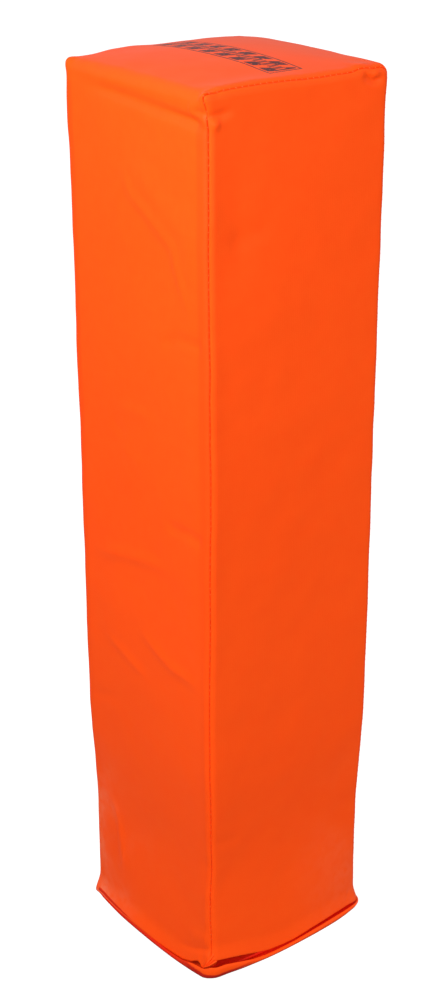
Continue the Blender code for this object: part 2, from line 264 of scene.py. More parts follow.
CREASES = [
    # The left side's foot runs out over the hinge fold, and its far corner flares
    Crease([(-56, 56, 0), (-56, -30, 0)], 8.0, (-1.3, 0, 0), start=0.1, end=0.4),
    Crease([(-52, 52, 0), (-52, 52, 1)], 6.0, (-1.5, -0.9, 0), start=0, end=0),
    Crease([(52, -52, 0), (52, -52, 3)], 5.0, (0.7, -0.5, 0), start=0, end=0),
    # The far top corner sinks, and the left one is sharp
    Crease([(51, 51, 453), (51, 51, 452)], 15.0, (0, 0, -1.3), start=0, end=0),
    on_left([(52, 436), (52, 428)], 10.0, -0.7, start=0, end=0),
    Crease([(-49.5, 50.8, 451.6), (-50, 50.8, 451)], 3.0, (-1.1, 0.2, 1.3), start=0, end=0),
    # The hollow under the left top fold, deeper as it nears the corner seam
    on_left([(40, 444.5), (0, 443.2), (-28, 441.5), (-53, 439.8)], 2.8, 1.2, end=0.1),
    on_left([(-20, 442), (-40, 440.7), (-52, 439.8)], 2.0, 0.8, start=0.6, end=0.2),
    on_left([(-41, 445.4), (-52.5, 444.8)], 1.6, 1.2, start=0.5, end=0),
    on_left([(-44, 440.6), (-51, 440.2)], 1.8, -0.6, start=0.4, end=0),
    # It runs on round the corner, with a lit swelling under it
    on_front([(-51, 443.8), (-44, 443.6), (-36, 444.4)], 1.8, 1.0, start=0.1, end=0.5),
    Crease([(-50, -52.5, 440), (-44, -52.5, 440.3)], 2.0, (0, -0.9, 0), start=0.2, end=0.5),
    # The puffed corner above it, split by the seam
    Crease([(-51.5, -40, 446), (-51, -47.5, 445)], 2.8, (-0.7, 0, 0)),
    Crease([(-49.5, -50.8, 451.6), (-50, -50.8, 451)], 2.7, (-2.5, -0.3, 1.8), start=0, end=0),
    # The top seams rise in soft steps
    Crease([(x, -51, 454) for x in (-50, -33, -10, 22)], 9.0, (0, 0, 1.6), start=0.12, end=0.6),
    Crease([(x, -51, 454) for x in (30, 37, 44)], 7.0, (0, 0, 1.0), start=0.4, end=0.5),
    Crease([(-40, 51, 454), (-4, 51, 454)], 9.0, (0, 0, 0.8), start=0.4, end=0.4),
    Crease([(-56, -50, 451), (-51, -49.6, 453), (-44, -49.6, 454)], 1.0, (0.3, 0.3, -0.7)),
    # The right top fold is full at its near end
    Crease([(52, -44, 447), (52, -52, 446)], 8.0, (0.9, 0, 0.2), start=0, end=0),
    # A crescent fold under the right end of the top seam
    Crease([(37, -51.4, 452), (38.2, -52, 448.5), (42, -52, 446.6), (48, -51.5, 447)], 1.4, (0, 1.3, 0)),
    Crease([(41, -51.6, 450.5), (46, -51.6, 450)], 2.0, (0, -0.5, 0)),
    # The near corner seam wanders: to the right up high, to the left above the foot
    Crease([(-51, -51, z) for z in (447, 330, 140)], 6.5, (0.75, -0.4, 0), start=0.03, end=0.35),
    Crease([(-51, -51, 66), (-51, -51, 24)], 6.5, (-0.6, 0.3, 0), start=0.4),
    # Drag lines run down the left side towards the corner seam
    on_left([(12, 418), (2, 401), (-28, 383), (-31, 373), (-42, 348)], 2.8, -0.8),
    on_left([(3, 420), (-13, 406), (-38, 388), (-42, 363)], 9.0, -0.9),
    on_left([(-17, 335), (-31, 342), (-42, 342), (-48, 341)], 2.6, 0.75, end=0.1),
    on_left([(21, 295), (2, 297), (-17, 298)], 3.0, -0.4),
    on_left([(24, 288), (9, 283)], 3.0, 0.4),
    on_left([(15, 273), (-3, 272)], 3.0, -0.3),
    on_left([(-18, 246), (-37, 248), (-47, 247)], 2.2, 0.85, end=0.1),
    on_left([(42, 211), (15, 218), (-7, 222), (-27, 223)], 2.8, -0.8),
    on_left([(34, 168), (-5, 155)], 2.0, -0.55),
    on_left([(5, 182), (-22, 171), (-48, 170)], 2.5, -0.75),
    on_left([(48, 125), (21, 135)], 2.5, 0.35),
    # A fold runs down to the far end of the left foot, and the near seam sinks above its own end
    Crease(
        [(-52, 39, 69), (-52, 30, 61), (-52, 26, 46), (-53, 23, 33), (-53, 27, 21)],
        2.4, (-0.95, 0, 0),
    ),
    on_left([(-46, 76), (-48, 47)], 4.0, 0.6),
    # Slack beside the corner seam on the front
    on_front([(-34, 432), (-35, 362)], 9.0, 0.7),
    on_front([(-42, 386), (-12, 393)], 5.0, 0.5),
    on_front([(-50, 83), (-29, 78)], 3.0, 0.35),
    # The fold above the left hem, where it lifts
    Crease(
        [(-55, -24, 8.5), (-54, -38, 12.2), (-52.5, -47, 16), (-51, -53, 18.6)],
        1.7, (1.5, 0, 0), start=0.4, end=0,
    ),
    Crease([(-54, -34, 19), (-52.5, -50, 24)], 4.0, (-0.5, 0, 0)),
    # Bunched tucks at the end of the corner seam
    Crease([(-50.6, -51, 17), (-51.6, -49.6, 14), (-52, -48, 12)], 0.9, (-0.7, 0, 0), end=0.1),
    Crease([(-51.6, -50.2, 14), (-52, -49.2, 11)], 0.7, (0.7, 0, 0), end=0),
    # Short tucks at the right end of the front hem
    Crease([(45.5, -51.6, 13), (42.6, -53, 9.4), (41.4, -53.6, 5.5)], 1.0, (0, 0.8, 0), end=0.1),
    Crease([(46.6, -51.6, 10.5), (44.8, -53, 6)], 0.8, (0, 0.7, 0), end=0.1),
]
print("creases:", len(CREASES))

# %% Drape a sheet of the flat-sided box
RIPPLES = ((46 * MM, 0.42 * MM), (17 * MM, 0.22 * MM), (8 * MM, 0.07 * MM))
RIPPLE_FREE_FOOT = 4 * MM
RIPPLE_FULL = 40 * MM


def noise_moves(points, size):
    """A soft random move for each point, in bumps of one size."""
    return np.array([noise.noise_vector(Vector(point / size)) for point in points])


def noise_values(points, size):
    """A soft random value for each point, in bumps of one size."""
    return np.array([noise.noise(Vector(point / size)) for point in points])


def ripple(points):
    """A soft unevenness that moves neighbours alike, and leaves the foot where it closes."""
    made = sum(noise_moves(points, size) * depth for size, depth in RIPPLES)
    return made * smooth((points[:, 2] - RIPPLE_FREE_FOOT) / RIPPLE_FULL)[:, None]


def creased(points):
    """Presses the creases and the soft unevenness into the stuffed shape."""
    return points + ripple(points) + sum(crease.moves(points) for crease in CREASES)


def draped(points):
    """Places of cover points, from the flat-sided box to the finished cover."""
    made = stuffed(points)
    made[:, 2] += hem_lift(points)
    return creased(made)


# %% [markdown]
# ## Helpers for sheets
# A sewn sheet is a grid of quads that bends at its edges. The grid comes from Blender's own
# create_grid, its edges are extruded step by step, and a Solidify modifier gives it its thickness.
# The rows and columns are close together where the vinyl is tucked and wide apart where it is plain.


# %% Space rows and columns
def graded(low, high, fine, coarse, reach):
    """Values from low to high, fine apart near both ends and coarse apart further than reach."""
    values = [low]
    while values[-1] < high:
        from_end = min(values[-1] - low, high - values[-1])
        values.append(values[-1] + fine + (coarse - fine) * float(smooth(from_end / reach)))
    stretch = (high - low) / (values[-1] - low)
    return [low + (value - low) * stretch for value in values]


def grid_sheet(columns, rows, place):
    """A grid with a vertex at place(column, row) for each pair."""
    bm = bmesh.new()
    bmesh.ops.create_grid(bm, x_segments=len(columns) - 1, y_segments=len(rows) - 1, size=1)
    for vert in bm.verts:
        column = columns[round((vert.co.x + 1) / 2 * (len(columns) - 1))]
        row = rows[round((vert.co.y + 1) / 2 * (len(rows) - 1))]
        vert.co = place(column, row)
    return bm


# %% Grow an edge, shape a mesh and make a piece
def grow(bm, wanted, steps, move):
    """Extrudes the wanted open edges once for each step. move gives a place from where it began."""
    edges = [e for e in bm.edges if e.is_boundary and wanted((e.verts[0].co + e.verts[1].co) / 2)]
    began = {vert: vert.co.copy() for edge in edges for vert in edge.verts}
    for step in steps:
        made = bmesh.ops.extrude_edge_only(bm, edges=edges)["geom"]
        verts = [item for item in made if isinstance(item, bmesh.types.BMVert)]
        around = {vert: [edge.other_vert(vert) for edge in vert.link_edges] for vert in verts}
        began = {vert: next(began[v] for v in near if v in began) for vert, near in around.items()}
        for vert in verts:
            vert.co = move(began[vert], step)
        edges = [item for item in made if isinstance(item, bmesh.types.BMEdge) and item.is_boundary]
        edges = [e for e in edges if all(v in verts for v in e.verts)]


def reshape(mesh, place):
    """Moves all of a mesh's vertices at once, with a function of an array of points."""
    points = np.empty(len(mesh.vertices) * 3, np.float32)
    mesh.vertices.foreach_get("co", points)
    moved = place(points.reshape(-1, 3).astype(float))
    mesh.vertices.foreach_set("co", moved.astype(np.float32).ravel())
    mesh.update()


def add_piece(name, bm, place=None):
    """Turns a bmesh into a smooth-shaded object, shaped by place if one is given."""
    mesh = bpy.data.meshes.new(name)
    bm.to_mesh(mesh)
    bm.free()
    if place is not None:
        reshape(mesh, place)
    mesh.shade_smooth()
    return add_object(name, mesh)


def thicken(piece, thickness):
    """Gives a sheet its thickness, to the inside of its outer face."""
    shell = piece.modifiers.new("Thickness", "SOLIDIFY")
    shell.thickness = thickness
    shell.offset = -1


def applied(piece):
    """Replaces a piece's mesh by what its modifiers make of it."""
    bpy.context.view_layer.update()
    graph = bpy.context.evaluated_depsgraph_get()
    mesh = bpy.data.meshes.new_from_object(piece.evaluated_get(graph))
    piece.modifiers.clear()
    piece.data = mesh
    return piece


def register(piece, body, node=None):
    """Hangs a piece on its body, and hides the imported solid that it stands for, if one is given."""
    if node:
        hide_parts(node)
    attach(piece, body)


# %% [markdown]
# ## The cover
# Three sheets make the cover: one long strip goes up the left side, over the top and down the right
# side, and a panel closes the front and another the back. At a seam both sheets curve in over a few
# millimetres, roll tightly into a groove and run inside as a seam allowance. That edge profile is
# one list of steps outward and inward, and each sheet's edges grow along it.

# %% Profile of a sewn edge
VINYL = 0.7 * MM
FOLD_RADIUS = 5 * MM
EDGE_ROUND = 4.0 * MM
EDGE_TURN = math.radians(35)
EDGE_ROUND_STEPS = 4
ROLL_RADIUS = 0.75 * MM
ROLL_STEPS = 5
ALLOWANCE = 5 * MM
SEAM_TURN = math.radians(135)
SEAM_GAP = 0.03 * MM


def sewn_edge():
    """(outward, inward) steps of a panel's edge, from its flat part to the end of its allowance."""
    wide = [EDGE_TURN * k / EDGE_ROUND_STEPS for k in range(1, EDGE_ROUND_STEPS + 1)]
    steps = [(EDGE_ROUND * math.sin(a), EDGE_ROUND * (1 - math.cos(a))) for a in wide]
    out, deep = steps[-1]
    for k in range(1, ROLL_STEPS + 1):
        a = EDGE_TURN + (SEAM_TURN - EDGE_TURN) * k / ROLL_STEPS
        steps.append((
            out + ROLL_RADIUS * (math.sin(a) - math.sin(EDGE_TURN)),
            deep + ROLL_RADIUS * (math.cos(EDGE_TURN) - math.cos(a)),
        ))
    out, deep = steps[-1]
    for share in (0.4, 1):
        run = ALLOWANCE * share
        steps.append((out + run * math.cos(SEAM_TURN), deep + run * math.sin(SEAM_TURN)))
    return steps


EDGE_STEPS = sewn_edge()
SEAM_OUT, SEAM_DEEP = EDGE_STEPS[EDGE_ROUND_STEPS + ROLL_STEPS - 1]
FLAT_HALF = HALF - SEAM_GAP * math.sqrt(2) - SEAM_OUT - SEAM_DEEP
FOLD_CENTRE = HALF - FOLD_RADIUS
SHOULDER_Z = TOP_Z - FOLD_RADIUS
print("flat part of a side:", round(2 * FLAT_HALF / MM, 1), "mm of", round(2 * HALF / MM, 1))

# %% Rows of a side and of its hem
HEM_RADIUS = 0.8 * MM
HEM_STEPS = 3
LIP_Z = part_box("loop_tape_front")[1].z + 0.05 * MM
LIP_WIDTH = 21.5 * MM
LIP_SLOPE = 4.2 * MM
LIP_STEPS = 8
FINE_ROW = 0.9 * MM
COARSE_ROW = 2.2 * MM
ROW_REACH = 70 * MM
FINE_COLUMN = 0.8 * MM
COARSE_COLUMN = 2.0 * MM
COLUMN_REACH = 30 * MM


def hem_rows():
    """(height, depth) of a hem's rows: the lip from its raw edge outward, then the rolled hem."""
    lip = [(LIP_Z, LIP_WIDTH + (LIP_SLOPE - LIP_WIDTH) * k / LIP_STEPS) for k in range(LIP_STEPS + 1)]
    middle = ((LIP_Z + HEM_Z) / 2, (LIP_SLOPE + HEM_RADIUS) / 2)
    angles = [math.pi / 2 * (1 - k / HEM_STEPS) for k in range(HEM_STEPS + 1)]
    roll = [(HEM_Z + HEM_RADIUS * (1 - math.sin(a)), HEM_RADIUS * (1 - math.cos(a))) for a in angles]
    return lip + [middle] + roll


def mitred(across, depth):
    """Draws a hem's row in towards its middle, so that two lips meet at a corner."""
    return across * (1 - max(depth - HEM_RADIUS, 0) / HALF)


COLUMNS = graded(-FLAT_HALF, FLAT_HALF, FINE_COLUMN, COARSE_COLUMN, COLUMN_REACH)
SIDE_ROWS = graded(HEM_Z + HEM_RADIUS, SHOULDER_Z, FINE_ROW, COARSE_ROW, ROW_REACH)
print("columns across a side:", len(COLUMNS), "rows up it:", len(SIDE_ROWS))


# %% Cut and sew the long strip
def outline_normal(point):
    """Outward direction, square to Y, at a point of the front's outline."""
    beyond_x = math.copysign(max(abs(point.x) - FOLD_CENTRE, 0), point.x)
    beyond_z = max(point.z - SHOULDER_Z, 0)
    return Vector((beyond_x, 0, beyond_z)).normalized()


FOLD_STEPS = 8
TOP_STEP = 2.2 * MM


def wrap_sheet():
    """The strip: up the left side, over the top, down the right side and in along its hem."""
    arc = [math.pi / 2 * k / FOLD_STEPS for k in range(FOLD_STEPS + 1)]
    top = graded(-FOLD_CENTRE, FOLD_CENTRE, TOP_STEP / 2, TOP_STEP, COLUMN_REACH)
    path = [(-HALF, z, 0) for z in [HEM_Z] + SIDE_ROWS[:-1]]
    turn = [(FOLD_RADIUS * math.cos(a), FOLD_RADIUS * math.sin(a)) for a in arc]
    turn = [(FOLD_CENTRE + x, SHOULDER_Z + z, 0) for x, z in turn]
    path += [(-x, z, depth) for x, z, depth in turn]
    path += [(x, TOP_Z, 0) for x in top[1:-1]]
    path += reversed(turn)
    path += [(HALF, z, 0) for z in reversed(SIDE_ROWS[:-1])]
    path += [(HALF - depth, z, depth) for z, depth in reversed(hem_rows()[:-1])]

    def place(y, row):
        x, z, depth = row
        return Vector((x, mitred(y, depth), z))

    def side(start, step):
        out, deep = step
        return start + Vector((0, math.copysign(out, start.y), 0)) - outline_normal(start) * deep

    bm = grid_sheet(path, COLUMNS, lambda row, y: place(y, row))
    grow(bm, lambda co: abs(co.y) > FLAT_HALF - 0.01 * MM, EDGE_STEPS, side)
    return bm


wrap = add_piece("cover_strip", wrap_sheet(), draped)
thicken(wrap, VINYL)
print("strip vertices:", len(wrap.data.vertices))


# %% Cut and sew the front and back panels
def round_off(u, v, centre_u, centre_v, radius):
    """Moves a point of a square corner block onto the quarter disc that the block holds."""
    a = (abs(u) - centre_u) / radius
    b = (abs(v) - centre_v) / radius
    if a <= 0 or b <= 0:
        return u, v
    disc_u = centre_u + radius * a * math.sqrt(1 - b * b / 2)
    disc_v = centre_v + radius * b * math.sqrt(1 - a * a / 2)
    return math.copysign(disc_u, u), math.copysign(disc_v, v)


def panel_sheet():
    """A panel with round top corners, sewn in on three edges and turned in at its hem."""
    radius = FOLD_RADIUS - (HALF - FLAT_HALF)
    rows = hem_rows()[:-1] + [(z, 0) for z in SIDE_ROWS]
    rows += [(SHOULDER_Z + radius * share, 0) for share in (0.5, 1)]

    def place(x, row):
        z, depth = row
        x, z = round_off(x, z, FOLD_CENTRE, SHOULDER_Z, radius)
        return Vector((mitred(x, depth), -HALF + depth, z))

    def side(start, step):
        out, deep = step
        return start + outline_normal(start) * out + Vector((0, deep, 0))

    def sewn(co):
        return co.y < -HALF + 1.5 * HEM_RADIUS and co.z > HEM_Z + 0.01 * MM

    bm = grid_sheet(COLUMNS, rows, place)
    grow(bm, sewn, EDGE_STEPS, side)
    return bm


def turned(points):
    """Points turned half way round the pylon."""
    return points * np.array([-1, -1, 1])


front = add_piece("cover_front", panel_sheet(), draped)
back = add_piece("cover_back", panel_sheet(), lambda points: draped(turned(points)))
for panel in (front, back):
    thicken(panel, VINYL)
print("panel vertices:", len(front.data.vertices))

# %% Hang the cover on its body
for piece, node in ((wrap, "wrap_panel"), (front, "front_panel"), (back, "back_panel")):
    register(piece, "cover", node)

# %% [markdown]
# ## Stitches
# From outside, a plain seam shows only as short threads that bridge its groove. They could be
# painted, but a thread catches its own light. Each one here is a small round bead across the groove,
# and all of them are placed by walking along the seam on the flat-sided box.

# %% Walk along a seam
STITCH_PITCH = 3.2 * MM
THREAD_WIDTH = 0.4 * MM
STITCH_DEPTH = 1.4 * MM
STITCH_HALF_SPAN = 0.45 * MM
STITCH_START = 17 * MM


def seam_walk(start_z):
    """Places and outward directions along a panel's seam: up one side, over the top and down."""
    rise = SHOULDER_Z - start_z
    turn = FOLD_RADIUS * math.pi / 2
    across = 2 * FOLD_CENTRE
    total = 2 * rise + 2 * turn + across
    for k in range(int(total / STITCH_PITCH) + 1):
        s = k * STITCH_PITCH
        side = -1 if s < total / 2 else 1
        s = min(s, total - s)
        if s < rise:
            yield Vector((side * HALF, 0, start_z + s)), Vector((side, 0, 0))
        elif s < rise + turn:
            a = (s - rise) / FOLD_RADIUS
            normal = Vector((side * math.cos(a), 0, math.sin(a)))
            yield Vector((side * FOLD_CENTRE, 0, SHOULDER_Z)) + normal * FOLD_RADIUS, normal
        else:
            x = side * (FOLD_CENTRE - (s - rise - turn))
            yield Vector((x, 0, TOP_Z)), Vector((0, 0, 1))


# %% Thread the seams
def bead(bm, start, end, width):
    """A short round thread between two points."""
    run = end - start
    turn = run.to_track_quat("Z", "Y").to_matrix().to_4x4()
    size = Matrix.Diagonal((width / 2, width / 2, run.length / 2, 1))
    place = Matrix.Translation((start + end) / 2) @ turn @ size
    bmesh.ops.create_uvsphere(bm, u_segments=6, v_segments=4, radius=1, matrix=place)


def thread_seams():
    """All threads of the four corner seams and the two top seams."""
    ends = []
    for side_y in (-1, 1):
        for point, normal in seam_walk(STITCH_START):
            outward = Vector((0, side_y, 0))
            groove = point + outward * HALF - (normal + outward) * STITCH_DEPTH
            across = (outward - normal).normalized() * STITCH_HALF_SPAN
            ends += [groove - across, groove + across]
    placed = draped(np.array(ends))
    bm = bmesh.new()
    for start, end in zip(placed[0::2], placed[1::2]):
        bead(bm, Vector(start), Vector(end), THREAD_WIDTH)
    return bm, len(ends) // 2


stitches_bm, stitch_count = thread_seams()
cover_stitches = add_piece("cover_stitches", stitches_bm)
register(cover_stitches, "cover")
print("stitches:", stitch_count)

# %% [markdown]
# ## The end of the corner seam
# Where the near corner seam ends at the foot, its two allowances are gathered and hang down to the
# rim as a small fan of tucks. Pressed creases can't make them, because they fold over the gap. So
# they are a sheet of their own, pleated between a tip and an edge that stays under the seam.

# %% Gather the seam's end
TAIL_TIP = Vector((-54.0, -47.9, 6.5)) * MM
TAIL_TOP = Vector((-48.7, -49.8, 15.2)) * MM
TAIL_FOOT = Vector((-47.2, -51.3, 9.3)) * MM
TAIL_UNDER = Vector((2.0, 2.4, 1.0)) * MM
TAIL_FLANK = Vector((2.6, 0.6, -0.4)) * MM
TAIL_PLEATS = 3
TAIL_DEPTH = 1.0 * MM


def tail_sheet():
    """A fan of tucks, from a tip on the rim to the seam's end. Two edges run under the cover."""
    out = (TAIL_FOOT - TAIL_TIP).cross(TAIL_TOP - TAIL_TIP).normalized()

    def place(u, share):
        pleat = abs(math.sin(math.pi * TAIL_PLEATS * max(u, 0))) * float(smooth(share * 2)) * TAIL_DEPTH
        spot = TAIL_TIP.lerp(TAIL_TOP.lerp(TAIL_FOOT, max(u, 0)), min(share, 1)) + out * pleat
        return spot + TAIL_UNDER * max(share - 1, 0) + TAIL_FLANK * max(-u, 0) * min(share, 1)

    columns = [-1, -0.5, -0.2] + [k / 36 for k in range(37)]
    shares = [0.1 + 0.9 * k / 12 for k in range(13)] + [1.2, 1.5, 2]
    return grid_sheet(columns, shares, place)


tail = add_piece("seam_tail", tail_sheet())
thicken(tail, 0.4 * MM)
register(tail, "cover")

# %% [markdown]
# ## The base flap
# The flap's outer sheet is the pylon's sole. Its free edges turn up and in, and show as a thin rim
# all round the foot. The rim is low along the hinge and stands up at the near corner, where the hem
# above it lifts. The sole starts as a grid with round corners, and the rim grows from its edge.

# %% Sizes of the rim
RIM_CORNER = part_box("flap_outer_layer")[1].x - 3.8 * MM
RIM_SWELL = 3.8 * MM
RIM_RADIUS = 5.5 * MM
# The rim's rolled edge, from the sole up and in: inset in millimetres and share of its height
RIM_PROFILE = [
    (0.0, 0.1), (-0.1, 0.3), (0.0, 0.55), (0.15, 0.78), (0.4, 0.93),
    (0.8, 1.0), (1.2, 0.94), (1.5, 0.78), (1.65, 0.5),
]
# Rim height by the compass angle round the pylon, in degrees, with the near corner at 225
RIM_HEIGHTS = {
    100: 2.0, 130: 1.2, 142: 1.2, 163: 1.8, 182: 2.2, 200: 1.6, 206: 1.6, 211: 2.4, 217: 4.6, 221: 5.2,
    225: 7.4, 231: 7.2, 237: 5.2, 243: 3.3, 253: 1.7, 271: 1.4, 286: 2.2, 300: 2.5, 312: 2.2, 330: 2.0,
    460: 2.0,
}
# How far the rim's foot is drawn in from its even bow, by the same angle
RIM_DRAWS = {
    100: 0, 136: 1.4, 144: 0.6, 160: 0.15, 205: 0.15, 216: 0.3, 221: 0.5, 225: 1.5, 228: 2.0, 232: 2.0,
    239: 1.2, 255: 0.2, 266: 0, 300: 0, 306: 0.4, 312: 1.2, 318: 1.2, 325: 0, 460: 0,
}
DRAW_FADE = (0.5 * MM, 1.4)


def on_rim(points):
    """Places of flap points, with the rim's own bow and the stretch of its foot that is drawn in."""
    made = bowed(points, RIM_CORNER, RIM_SWELL)
    x, y, z = made.T
    edge = smooth((np.maximum(np.abs(x), np.abs(y)) - 0.6 * HALF) / (0.4 * HALF))
    draw = by_angle(RIM_DRAWS, x, y)
    least, slope = DRAW_FADE
    share = draw * edge * (1 - smooth(z / (least + slope * draw))) / np.hypot(x, y)
    made[:, :2] *= (1 - share)[:, None]
    return made


print("rim half width at the corners:", round(RIM_CORNER / MM, 1), "mm")


# %% Make the sole and grow its rim
def sole_sheet():
    """The flap's outer sheet: a flat sole whose edge turns up and in."""
    centre = HALF - RIM_RADIUS
    corner = [centre + RIM_RADIUS * k / 6 for k in range(1, 7)]
    inner = graded(-centre, centre, 1.2 * MM, 4.5 * MM, 25 * MM)
    columns = [-value for value in reversed(corner)] + inner + corner

    def place(x, y):
        x, y = round_off(x, y, centre, centre, RIM_RADIUS)
        return Vector((x, y, 0))

    def edge(start, step):
        beyond = Vector((
            math.copysign(max(abs(start.x) - centre, 0), start.x),
            math.copysign(max(abs(start.y) - centre, 0), start.y),
            0,
        )).normalized()
        inset, share = step
        height = float(by_angle(RIM_HEIGHTS, start.x, start.y))
        return start - beyond * inset * MM + Vector((0, 0, height * share))

    bm = grid_sheet(columns, [-y for y in columns], place)
    grow(bm, lambda co: True, RIM_PROFILE, edge)
    return bm


sole = add_piece("flap_sole", sole_sheet(), on_rim)
thicken(sole, VINYL)
register(sole, "base_flap", "flap_outer_layer")
print("sole vertices:", len(sole.data.vertices))

# %% [markdown]
# ## The hinge fold
# Along the left side, the vinyl itself is the hinge: it runs from inside the cover's foot, round a
# soft bead and under the lining of the flap. The strip reaches from the height of the foot down to
# the sole, and hangs on neither body.

# %% Fold a strip along the left foot
# Inset from the foot's line and height, both in millimetres, from inside the foot to under the lining
FOLD_PROFILE = [
    (3.4, 8.0), (2.5, 6.5), (1.9, 4.8), (1.6, 3.9), (1.35, 3.3),
    (0.95, 2.8), (0.85, 2.3), (0.9, 1.8), (1.1, 1.3), (1.7, 1.0), (2.6, 0.85), (3.8, 0.8),
]
FOLD_SPAN = (-46 * MM, 45 * MM)
FOLD_COLUMNS = 60
FOLD_SINKS = (-24 * MM, -33 * MM)
FOLD_SUNK_Z = 2.4 * MM
FOLD_TUCK = 0.9
FOLD_TUCK_FROM = 34 * MM
FOLD_TUCK_Z = 3.3 * MM


def fold_sheet():
    """The hinge strip, still straight, with its foot line along Y."""
    low, high = FOLD_SPAN
    columns = [low + (high - low) * k / FOLD_COLUMNS for k in range(FOLD_COLUMNS + 1)]
    rows = list(reversed(FOLD_PROFILE))
    return grid_sheet(columns, rows, lambda y, row: Vector((row[0] * MM, y, row[1] * MM)))


def along_foot(points):
    """Bends the strip along the foot, lays its top down where the hem lifts and tucks in its far end."""
    inset, y, height = points.T
    line = draped(np.stack([np.full(len(y), -HALF), y, np.full(len(y), 3 * MM)], axis=1))
    begins, ends = FOLD_SINKS
    sunk = smooth((begins - y) / (begins - ends)) * np.maximum(height - FOLD_SUNK_Z, 0)
    tucked = FOLD_TUCK * smooth((y - FOLD_TUCK_FROM) / (FOLD_SPAN[1] - FOLD_TUCK_FROM))
    tucked = tucked * np.maximum(height - FOLD_TUCK_Z, 0)
    return np.stack([line[:, 0] + inset + sunk + tucked, y, height - 0.9 * sunk], axis=1)


fold = add_piece("hinge_fold", fold_sheet(), along_foot)
thicken(fold, 0.5 * MM)
applied(fold)
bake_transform(fold)

# %% [markdown]
# ## Lining and tapes
# Inside the flap a board is held flat by a vinyl lining. Hook tape runs round its three free sides,
# and loop tape faces it on the cover's hem lips. The strips are woven bands with real hooks and
# loops on them: one small hook or loop is drawn once, and copied by arrays of numbers.


# %% Lay the lining
def flat_sheet(inset, left_inset, z):
    """A flat sheet with round corners inside the rim."""
    edge = HALF - inset
    radius = RIM_RADIUS - inset
    centre = edge - radius
    corner = [centre + radius * k / 4 for k in range(1, 5)]
    middle = graded(-centre, centre, 2 * MM, 5 * MM, 25 * MM)
    rows = [-value for value in reversed(corner)] + middle + corner
    low, high = rows[0], rows[-1]

    def place(x, y):
        x, y = round_off(x, y, centre, centre, radius)
        x = -HALF + left_inset + (x - low) * (high + HALF - left_inset) / (high - low)
        return Vector((x, y, z))

    return grid_sheet(rows, rows, place)


LINING_SAG = 0.12 * MM
LINING_WAVE = 14 * MM


def waved(points):
    """Flap points with a slight wave, as a lining lies."""
    made = on_rim(points)
    made[:, 2] += noise_values(points, LINING_WAVE) * LINING_SAG
    return made


BOARD = 1.0 * MM
board = add_piece("flap_board", flat_sheet(4.3 * MM, 5.5 * MM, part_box("flap_stiffener")[1].z), on_rim)
thicken(board, BOARD)
register(board, "base_flap", "flap_stiffener")
lining_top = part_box("flap_inner_layer")[1].z - LINING_SAG
lining_drop = Vector((0, 0, lining_top - VINYL))
lining_bm = flat_sheet(3.6 * MM, 4.8 * MM, lining_top)
grow(lining_bm, lambda co: True, (0.5, 1), lambda start, share: start - lining_drop * share)
lining = add_piece("flap_lining", lining_bm, waved)
thicken(lining, 0.5 * MM)
register(lining, "base_flap", "flap_inner_layer")
print("board and lining, top at", round(lining_top / MM, 1), "mm")


# %% Copy one small shape to many places
def spun(points, angles):
    """Points turned about Z."""
    x, y, z = np.moveaxis(points, -1, 0)
    cos, sin = np.cos(angles), np.sin(angles)
    return np.stack([x * cos - y * sin, x * sin + y * cos, z], axis=-1)


def scatter(name, template, faces, spots, turns, sizes, place):
    """One mesh of many copies of a small shape, turned about Z, scaled and then shaped by place."""
    copies = np.array(template) * np.array(sizes)[:, None, None]
    points = spun(copies, np.array(turns)[:, None]) + np.array(spots)[:, None, :]
    firsts = range(0, len(spots) * len(template), len(template))
    quads = [[first + index for index in face] for first in firsts for face in faces]
    mesh = bpy.data.meshes.new(name)
    mesh.from_pydata(place(points.reshape(-1, 3)).tolist(), [], quads)
    mesh.shade_smooth()
    return add_object(name, mesh)


def bent_thread(centres, radius, sides):
    """Vertices and faces of a thin tube along centres that lie in the XZ plane, with closed ends."""
    points, faces = [], []
    for k, centre in enumerate(centres):
        before, after = centres[max(k - 1, 0)], centres[min(k + 1, len(centres) - 1)]
        run = Vector((after[0] - before[0], 0, after[1] - before[1])).normalized()
        out = run.cross(Vector((0, 1, 0)))
        for j in range(sides):
            a = 2 * math.pi * j / sides
            ring = out * math.cos(a) * radius + Vector((0, math.sin(a) * radius, 0))
            points.append(Vector((centre[0], 0, centre[1])) + ring)
    for k in range(len(centres) - 1):
        for j in range(sides):
            a, b = k * sides + j, k * sides + (j + 1) % sides
            faces.append([a, b, b + sides, a + sides])
    faces.append(list(reversed(range(sides))))
    faces.append(list(range(len(points) - sides, len(points))))
    return [tuple(point) for point in points], faces


# %% Draw one hook and one loop
FIBRE = 0.11 * MM
HOOK_RISE = 0.45 * MM
HOOK_BEND = 0.2 * MM
LOOP_RISE = 0.50 * MM
LOOP_BEND = 0.3 * MM
hook_line = [(0, 0), (0, HOOK_RISE * 0.55)]
for a in (0.8, 1.6, 2.4, 3.1):
    hook_line.append((HOOK_BEND * (1 - math.cos(a)), HOOK_RISE * 0.55 + HOOK_BEND * math.sin(a)))
loop_angles = (0, 0.6, 1.2, 1.9, 2.5, math.pi)
loop_line = [(-LOOP_BEND * math.cos(a), LOOP_RISE * math.sin(a)) for a in loop_angles]
HOOK = bent_thread(hook_line, FIBRE, 4)
LOOP = bent_thread(loop_line, FIBRE * 0.6, 3)
print("faces of a hook:", len(HOOK[1]), "of a loop:", len(LOOP[1]))

# %% Weave the tapes
TAPE_WIDTH = 16 * MM
TAPE_INSET = 5.2 * MM
TAPE_REACH = HALF - LIP_WIDTH
BAND = 0.4 * MM
SELVEDGE = 1.6 * MM
HOOK_PITCH = 1.5 * MM
TAPE_TURNS = {"front": 0, "right": math.pi / 2, "back": math.pi}
random.seed(SEED)


